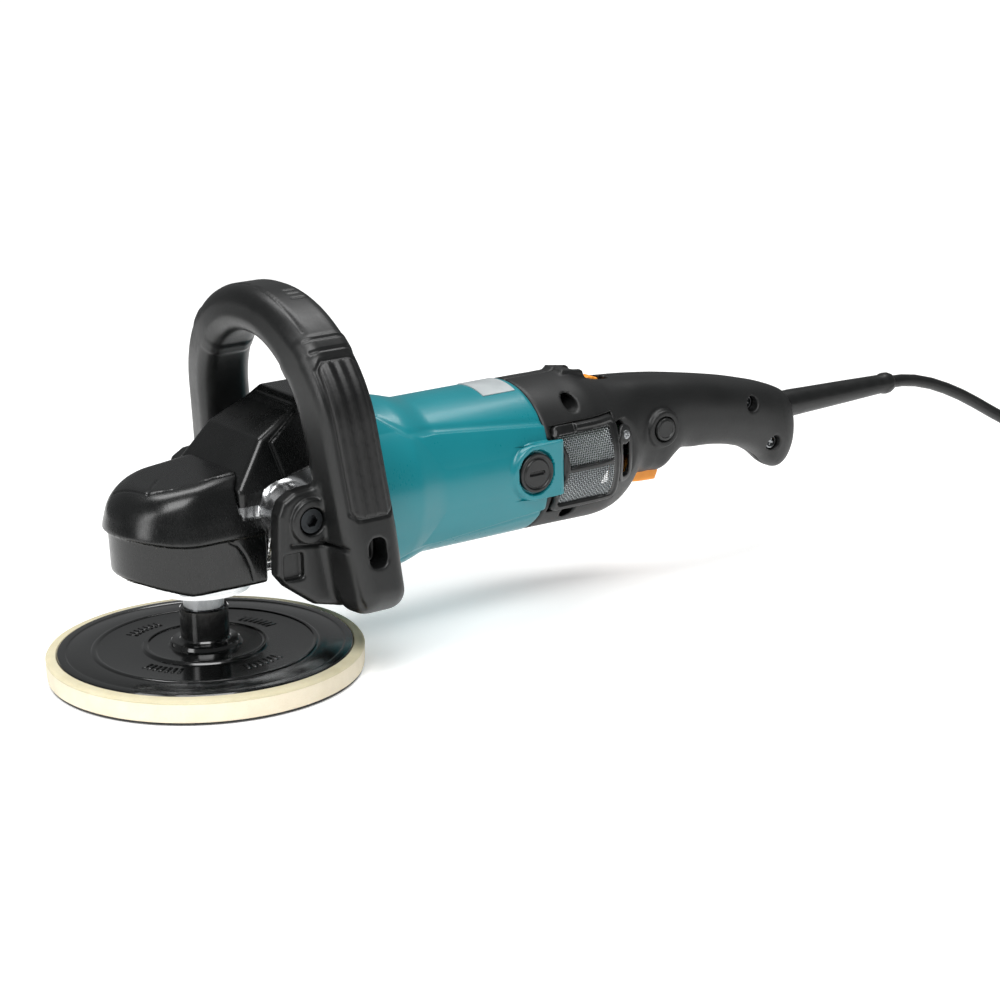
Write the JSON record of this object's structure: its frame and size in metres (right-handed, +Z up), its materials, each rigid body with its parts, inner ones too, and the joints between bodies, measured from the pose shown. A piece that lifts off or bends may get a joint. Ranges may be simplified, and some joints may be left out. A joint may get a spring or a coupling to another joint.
{
  "type": "rotary polisher",
  "caption": "Corded rotary polisher with a loop front handle, foam backing pad, geared head, motor housing, rear handle with trigger, filters and a mains lead.",
  "frame": {"origin": "centre of the pad's working face, on the spindle's axis", "axes": "+X towards the tail and the mains lead, +Y towards the tool's right side seen from the tail, +Z up along the spindle"},
  "size_m": [0.842, 0.2339, 0.2075],
  "materials": {
    "hook": "woven hook tape",
    "foam": "moulded foam",
    "plate_black": "gloss moulded",
    "steel": "turned",
    "gear_steel": "cut and ground",
    "lamination": "stacked laminations",
    "copper": "enamelled copper",
    "inner_plastic": "moulded",
    "aluminium": "polished casting",
    "cover_rubber": "moulded satin",
    "aluminium_turned": "turned",
    "bearing_steel": "ground",
    "housing_teal": "moulded satin gloss",
    "brass": "stamped",
    "carbon": "pressed carbon",
    "black_plastic": "moulded satin",
    "label": "printed film, blank",
    "handle_plastic": "fine texture",
    "mesh_steel": "woven wire",
    "board": "potted",
    "orange": "moulded",
    "spring_steel": "drawn",
    "loop_plastic": "moulded satin",
    "grip_rubber": "moulded",
    "bolt_steel": "black oxide",
    "cord_rubber": "extruded satin",
    "plug_plastic": "moulded satin",
    "pin_nickel": "nickel plated"
  },
  "bodies": {
    "housing": {"gear_housing": "aluminium", "head_cover": "cover_rubber", "hood_cover": "cover_rubber", "bearing_retainer": "aluminium_turned", "retainer_screws": "steel", "spindle_bearing_lower": "bearing_steel", "spindle_bearing_upper": "bearing_steel", "gearbox_bulkhead": "aluminium", "layshaft_bearings": "bearing_steel", "armature_bearings": "bearing_steel", "rear_bearing_bush": "cover_rubber", "motor_housing": "housing_teal", "motor_screws": "steel", "stator_core": "lamination", "stator_coils": "copper", "fan_baffle": "inner_plastic", "brush_holders": "brass", "carbon_brushes": "carbon", "brush_caps": "black_plastic", "rating_label": "label", "handle_left": "handle_plastic", "handle_right": "handle_plastic", "handle_screws": "steel", "filter_frame_left": "black_plastic", "filter_frame_right": "black_plastic", "filter_meshes": "mesh_steel", "switch_body": "inner_plastic", "speed_controller": "board", "cord_clamp": "inner_plastic", "trigger_pin": "steel", "loop_handle": "loop_plastic", "loop_grips": "grip_rubber", "loop_bolts": "bolt_steel", "cord_guard": "cord_rubber", "cord": "cord_rubber", "cord_coil": "cord_rubber", "cord_tail": "cord_rubber", "plug_body": "plug_plastic", "plug_pins": "pin_nickel"},
    "spindle": {"spindle": "steel", "bevel_gear": "gear_steel", "backing_plate": "plate_black", "foam_pad": "foam", "hook_face": "hook"},
    "layshaft": {"layshaft": "steel", "bevel_pinion": "gear_steel", "lay_gear": "gear_steel"},
    "armature": {"armature_shaft": "steel", "armature_core": "lamination", "armature_windings": "copper", "commutator": "copper", "fan": "inner_plastic", "motor_pinion": "gear_steel"},
    "trigger": {"trigger": "orange", "trigger_spring": "spring_steel"},
    "lock_button": {"lock_button": "black_plastic", "lock_button_spring": "spring_steel"},
    "speed_dial": {"speed_dial": "orange"},
    "shaft_lock": {"shaft_lock": "black_plastic", "shaft_lock_spring": "spring_steel"}
  },
  "joints": [
    {"name": "pad_spin", "type": "hinge", "parent": "housing", "child": "spindle", "pos_m": [0, 0, 0], "axis": [0, 0, 1], "continuous": true},
    {"name": "layshaft_spin", "type": "hinge", "parent": "housing", "child": "layshaft", "pos_m": [0, 0, 0.105], "axis": [1, 0, 0], "continuous": true},
    {"name": "armature_spin", "type": "hinge", "parent": "housing", "child": "armature", "pos_m": [0, 0, 0.087], "axis": [1, 0, 0], "continuous": true},
    {"name": "trigger_press", "type": "hinge", "parent": "housing", "child": "trigger", "pos_m": [0.312, 0, 0.079], "axis": [0, 1, 0], "range_deg": [0, 8], "stiffness_Nm_per_rad": 0.6, "springref_deg": -8.59, "deforming": ["trigger_spring"]},
    {"name": "lock_button_press", "type": "slide", "parent": "housing", "child": "lock_button", "axis": [0, 1, 0], "range_m": [0, 0.0035], "stiffness_N_per_m": 400, "springref_m": -0.003, "deforming": ["lock_button_spring"]},
    {"name": "speed_dial_turn", "type": "hinge", "parent": "housing", "child": "speed_dial", "pos_m": [0.259, 0, 0.1125], "axis": [0, 1, 0], "range_deg": [0, 270]},
    {"name": "shaft_lock_press", "type": "slide", "parent": "housing", "child": "shaft_lock", "axis": [0, -1, 0], "range_m": [0, 0.0025], "stiffness_N_per_m": 400, "springref_m": -0.003, "deforming": ["shaft_lock_spring"]}
  ],
  "couplings": [
    {"joint": "layshaft_spin", "follows": "pad_spin", "ratio": 3.0833},
    {"joint": "armature_spin", "follows": "pad_spin", "ratio": -9.25}
  ]
}
